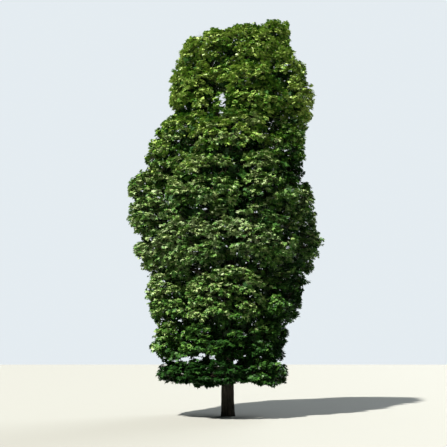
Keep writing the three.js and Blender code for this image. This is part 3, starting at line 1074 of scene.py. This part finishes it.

# tints by spray, as painted light and shade: brighter out in the light, facing the key light and high up, darker in
# hollows, at the edges of lumps, low down and on the lower right where shade falls, with a few odd leaves
light_way = unit(np.array([-0.38, -0.56, 0.74]))
x_, z_ = S_start[:, 0], S_start[:, 2]
tone = (
    4.6
    # painted light: brighter where open and where facing the key light, darker for clumps that face up and for sprays
    # that point down
    - 1.9 * S_open
    - 1.3 * (S_face @ light_way)
    + 2.3 * smooth(S_face[:, 2], 0.35, 0.95)
    - 0.8 * (S_dir[:, 2])
    # painted shade: darker in hollows and towards the edges of lumps
    + 2.2 * (C_hollow[spray_clump] > 0.1)
    + 3.6 * C_hollow[spray_clump]
    + 1.6 * smooth(C_edge[spray_clump], 0.3, 0.8)
    # painted light and shade: brighter high up, and lighter or darker in bands by side and height
    - 1.9 * smooth(z_, 4.8, 10.5)
    - 0.6 * smooth(-x_, 1.1, 1.5) * smooth(z_, 3.9, 5.2) * (1 - smooth(z_, 6.8, 7.4))
    - 0.9 * (1 - smooth(np.abs(x_ + 0.3), 0.9, 1.4)) * smooth(z_, 4.2, 4.7) * (1 - smooth(z_, 5.5, 6.0))
    - (1.0 - 0.5 * smooth(-x_, 0.7, 1.3)) * (1 - smooth(x_, 0.7, 1.3)) * smooth(z_, 2.6, 3.4) * (1 - smooth(z_, 5.4, 6.0))
    + 0.3 * smooth(z_, 5.6, 6.4) * (1 - smooth(z_, 7.6, 8.4))
    # painted shade: darker low down, most in the skirt and on the lower right
    + 2.9 * (1 - smooth(z_, 1.8, 3.8))
    + (2.2 + 1.8 * smooth(-x_, -0.6, 0.3)) * (1 - smooth(z_, 1.3, 2.0))
    + 1.8 * (1 - smooth(np.abs(x_), 0.3, 0.9)) * (1 - smooth(z_, 2.2, 3.0))
    + 3.9 * smooth(x_, 0.5, 1.8) * (1 - smooth(z_, 3.6, 4.9)) * smooth(z_, 1.5, 2.1)
    # painted light and shade: more lighter and darker bands by side and height
    - 1.0 * smooth(x_, 0.3, 0.9) * (1 - smooth(z_, 1.3, 1.7))
    - 1.3 * smooth(-x_, 0.8, 1.3) * smooth(z_, 1.6, 1.9) * (1 - smooth(z_, 2.5, 2.9))
    - 1.3 * smooth(-x_, 1.1, 1.5) * smooth(z_, 3.9, 4.2) * (1 - smooth(z_, 5.2, 5.6))
    + 0.2 * smooth(-x_, 0.5, 1.6) * (1 - smooth(z_, 9.4, 10.2))
    - 0.6 * smooth(-x_, -0.1, 0.6) * smooth(z_, 8.9, 9.7)
    + 0.7 * smooth(-x_, 0.7, 1.4) * smooth(z_, 7.1, 7.8) * (1 - smooth(z_, 9.0, 9.7))
    + 2.5 * smooth(x_, 1.0, 1.7) * smooth(z_, 6.6, 7.2) * (1 - smooth(z_, 8.7, 9.3))
    - 1.6 * smooth(x_, 1.3, 1.9) * smooth(z_, 9.3, 9.8) * (1 - smooth(z_, 10.6, 11.1))
    + rng.normal(0, 1.1, S)
)
# the low tiers stand in softer light, so their sprays differ less
tone -= 0.3 * (tone - 3.9) * smooth(z_, 2.2, 3.0) * (1 - smooth(z_, 5.0, 6.2))
# painted shade: shaded sprays are held to dark tints, a little less dark in two bands of the low front
dark = 7.8 - 1.6 * smooth(z_, 3.0, 3.8) * (1 - smooth(z_, 5.3, 5.9)) * (1 - smooth(x_, -0.1, 0.5))
dark -= 1.3 * smooth(z_, 4.2, 4.6) * (1 - smooth(z_, 5.2, 5.6)) * (1 - smooth(x_, 0.3, 0.9))
tone = np.where(S_shaded, np.maximum(tone + 0.8, dark), tone)

spray, on_twig, stalk_way, base, normal, tip, size = leaf
wide = np.cross(tip, normal)
dim = S_shaded[spray]
spray_mass = np.array([C_mass[c].number for c in spray_clump])
leaf_mass = spray_mass[spray]
tint = np.clip(np.round(tone[spray] + rng.normal(0, 1, len(spray)) * (1.0 + smooth(base[:, 2], 1.6, 2.6))), 0, len(LIGHT_TO_SHADE_TINTS) - 1).astype(int)
# painted sunlight: unshaded sprays high up take the yellower copies
painted_sun = (rng.random(S) < smooth(z_, 6.6, 9.6)) & ~S_shaded
# painted reflection: some sprays in the middle front take the bluer copies
painted_sky_sheen = (rng.random(S) < 0.65 * smooth(z_, 3.2, 4.5) * (1 - smooth(z_, 5.8, 6.8)) * (1 - smooth(S_start[:, 1], -0.2, 0.8))) & ~painted_sun
tint = tint + np.where(painted_sun[spray], len(LIGHT_TO_SHADE_TINTS), 0) + np.where(painted_sky_sheen[spray], 2 * len(LIGHT_TO_SHADE_TINTS), 0)
GROUPS = [
    ("leaves_skirt_and_low", 1, 10),
    ("leaves_second_tier", 11, 15),
    ("leaves_third_tier", 16, 21),
    ("leaves_fourth_tier", 22, 28),
    ("leaves_fifth_tier", 29, 33),
    ("leaves_sixth_tier", 34, 37),
    ("leaves_top", 38, 43),
]


def blades(sel, shape):
    """Blades of one outline with their stalks: vertices, triangles and the tint of each triangle."""
    n, c = len(sel), len(shape)
    curl = 1 + rng.normal(0, 0.6, (n, 1))
    big = size[sel][:, None]
    xyz = (
        base[sel][:, None]
        + wide[sel][:, None] * (shape[None, :, 0] * big)[..., None]
        + tip[sel][:, None] * (shape[None, :, 1] * big)[..., None]
        + normal[sel][:, None] * (shape[None, :, 2] * big * curl)[..., None]
    )
    across = unit(np.cross(stalk_way[sel], normal[sel])) * 0.0022
    foot = np.stack([on_twig[sel] - across, on_twig[sel] + across], 1)
    verts = np.concatenate([xyz, foot], 1).reshape(-1, 3)
    start = (np.arange(n) * (c + 2))[:, None, None]
    fan = np.array([(0, i + 1, i) for i in range(1, c - 1)])
    blade = (start + fan[None]).reshape(-1, 3)
    stem = (start[:, 0] + np.array([[c, c + 1, 0]])).reshape(-1, 3)
    index = np.concatenate([np.repeat(tint[sel], c - 2), np.full(n, len(leaf_materials))])
    return verts, np.concatenate([blade, stem]), index


leaf_total = 0
leaf_faces = 0
for name, first, last in GROUPS:
    here = (leaf_mass >= first) & (leaf_mass <= last)
    va, fa, ia = blades(np.where(here & ~dim)[0], OUTLINE)
    vb, fb, ib = blades(np.where(here & dim)[0], INNER_OUTLINE)
    faces = np.concatenate([fa, fb + len(va)])
    o = mesh_from(
        name,
        np.concatenate([va, vb]),
        faces,
        leaf_materials + [petiole_material],
        np.concatenate([ia, ib]),
    )
    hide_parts(*[m.name for m in masses if first <= m.number <= last])
    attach(o, "root")
    leaf_total += here.sum()
    leaf_faces += len(faces)
    print(name, here.sum(), "leaves", len(faces), "triangles")
print("leaf triangles", leaf_faces)
print("leaves in all", leaf_total)

is_twig = np.zeros(len(pos_a), bool)
ends = np.array(twig_ids)
for _ in range(2):
    is_twig[ends] = True
    ends = parent_a[ends]
edges = np.where(parent_a >= 0)[0]
twigs = tubes("twigs", edges[is_twig[edges]], 3, twig_wood)
branches = tubes("branches", edges[~is_twig[edges]], 5, branch_wood)
for o in (twigs, branches):
    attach(o, "root")
    print(o.name, len(o.data.polygons), "triangles")


# ------------------------------------------------------------------ bark on the trunk, leaders and boughs
def furrows(angle, z, girth, seed):
    """Height of the bark, -1 to 1: long ridges that wander, split and join as they climb."""
    k = max(5, int(round(girth / 0.034)))
    drift = 0.5 * np.sin(z * 2.3 + seed) + 0.35 * np.sin(z * 5.9 + 2 * seed + 2 * angle)
    a = np.sin(k * angle + 2.4 * drift + 1.1 * np.sin(3 * angle + z * 1.7))
    b = np.sin((k + 3) * angle - 1.9 * drift + z * 4.1 + seed)
    c = np.sin(z * 17 + 3 * np.sin(k / 2 * angle + seed))
    return np.clip(0.62 * a + 0.38 * b, -1, 1) * 0.8 + 0.2 * c


def bark_tube(centres, radii, sides, relief, seed, swell=None):
    n = len(centres)
    t = unit(np.gradient(centres, axis=0))
    level = swell is not None
    if level:
        t = np.repeat(UP[None], n, 0)
    ref = np.where(np.abs(t[:, 0:1]) > 0.8, np.array([[0, 1.0, 0]]), np.array([[1.0, 0, 0]]))
    bi = unit(np.cross(t, ref))
    no = unit(np.cross(bi, t))
    ang = np.arange(sides) / sides * 2 * math.pi
    A, Z = np.meshgrid(ang, np.arange(n), indexing="xy")
    run = np.concatenate([[0], np.cumsum(np.linalg.norm(np.diff(centres, axis=0), axis=1))])
    h = furrows(A, run[Z], 2 * math.pi * radii.mean(), seed)
    r = radii[:, None] + relief * (h - 0.6)
    if level:
        r = r + swell(centres[:, 2][:, None], A)
    v = (
        centres[:, None]
        + (no[:, None] * np.cos(A)[..., None] + bi[:, None] * np.sin(A)[..., None]) * r[..., None]
    )
    idx = np.arange(n * sides).reshape(n, sides)
    q = np.stack(
        [idx[:-1], np.roll(idx[:-1], -1, 1), np.roll(idx[1:], -1, 1), idx[1:]], -1
    ).reshape(-1, 4)
    return v.reshape(-1, 3), q


def flare(z, angle):
    t = np.maximum(0, 1 - z / 0.42)
    return 0.042 * t * t * (0.55 + 0.45 * np.cos(5 * angle + 0.7))


z = np.concatenate([np.linspace(0, 1.6, 96)[:-1], np.linspace(1.6, FORK, 50)])
v, q = bark_tube(trunk_at(z), trunk_radius(z), 96, 0.008, 1.0, flare)
caps = []
for ring, centre in ((0, trunk_at(0.0)), (len(z) - 1, trunk_at(FORK))):
    v = np.vstack([v, centre])
    c = len(v) - 1
    i = ring * 96 + np.arange(96)
    j = ring * 96 + (np.arange(96) + 1) % 96
    pair = (j, i) if ring == 0 else (i, j)
    caps.append(np.stack([pair[0], pair[1], np.full(96, c)], 1))
tri = np.concatenate([q[:, [0, 1, 2]], q[:, [0, 2, 3]], *caps])
trunk_obj = mesh_from("trunk_bark", v, tri, [bark])
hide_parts("trunk")
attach(trunk_obj, "root")

V, Q, off = [], [], 0
for i, (name, (height, into, r0, r1)) in enumerate(BOUGHS.items()):
    m = by_name[into]
    goal = m.centre.copy()
    goal[2] -= m.size[2] * 0.3
    line = route(trunk_at(height), goal, 0.06, 44)[:37]
    rr = np.linspace(r0, r0 + (r1 - r0) * 37 / 44, 37)
    rr = rr + 0.03 * np.exp(-np.arange(37) / 3.0)
    a, b = bark_tube(line, rr, 16, 0.0035, 2.0 + i)
    V.append(a)
    Q.append(b + off)
    off += len(a)
for i, (name, (into, r0, r1)) in enumerate(LEADERS.items()):
    line = route(trunk_at(FORK - 0.12), by_name[into].centre, 0.05, 50)
    rr = np.linspace(r0, r1, 50)
    a, b = bark_tube(line, rr, 18, 0.004, 20.0 + i)
    V.append(a)
    Q.append(b + off)
    off += len(a)
limbs = mesh_from("limb_bark", np.concatenate(V), np.concatenate(Q), [limb_bark])
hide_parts(*BOUGHS, *LEADERS)
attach(limbs, "root")

# ------------------------------------------------------------------ floor, light and backdrop
n = 96
ring = np.array([(math.cos(i / n * 2 * math.pi), math.sin(i / n * 2 * math.pi), 0) for i in range(n)])
floor_v = np.concatenate([[(0, 0, 0)], ring * 9, ring * 400])
tri = [(0, 1 + i, 1 + (i + 1) % n) for i in range(n)]
tri += [(1 + i, 1 + n + i, 1 + n + (i + 1) % n) for i in range(n)]
tri += [(1 + i, 1 + n + (i + 1) % n, 1 + (i + 1) % n) for i in range(n)]
floor = mesh_from(
    "floor", floor_v - np.array([0, 0, 0.002]), np.array(tri), [plain_material("floor", (0.34, 0.34, 0.32), 0.9, 0.1)]
)

world = bpy.data.worlds.new("studio")
scene.world = world
world.use_nodes = True
wn = world.node_tree.nodes
fill = wn["Background"]
# brightest overhead, so that blades which face up keep their shape in the shade
spot = wn.new("ShaderNodeTexCoord")
split = wn.new("ShaderNodeSeparateXYZ")
height = wn.new("ShaderNodeValToRGB")
height.color_ramp.elements[0].position = 0.0
height.color_ramp.elements[0].color = (0.03, 0.034, 0.034, 1)
height.color_ramp.elements[1].position = 0.85
height.color_ramp.elements[1].color = (0.20, 0.235, 0.25, 1)
# the backdrop that shows is paler than the fill light that it gives
shown = wn.new("ShaderNodeBackground")
shown.inputs["Color"].default_value = (0.78, 0.84, 0.88, 1)
shown.inputs["Strength"].default_value = 1.0
path = wn.new("ShaderNodeLightPath")
both = wn.new("ShaderNodeMixShader")
wl = world.node_tree.links
wl.new(spot.outputs["Generated"], split.inputs[0])
wl.new(split.outputs["Z"], height.inputs["Fac"])
wl.new(height.outputs["Color"], fill.inputs["Color"])
wl.new(path.outputs["Is Camera Ray"], both.inputs[0])
wl.new(fill.outputs[0], both.inputs[1])
wl.new(shown.outputs[0], both.inputs[2])
wl.new(both.outputs[0], wn["World Output"].inputs["Surface"])


def lamp(name, way, strength, angle, colour):
    data = bpy.data.lights.new(name, "SUN")
    data.energy = strength
    data.angle = math.radians(angle)
    data.color = colour
    o = bpy.data.objects.new(name, data)
    o.rotation_euler = Vector(way).to_track_quat("Z", "Y").to_euler()
    scene.collection.objects.link(o)


lamp("key", light_way.tolist(), 9.4, 2.0, (1.0, 0.97, 0.89))
# a broad soft light from behind and the right, for the sides that the key light leaves in the shade
lamp("back", (0.50, 0.74, 0.45), 2.4, 40.0, (0.92, 0.97, 1.0))

scene.view_settings.view_transform = "Standard"
scene.view_settings.look = "None"
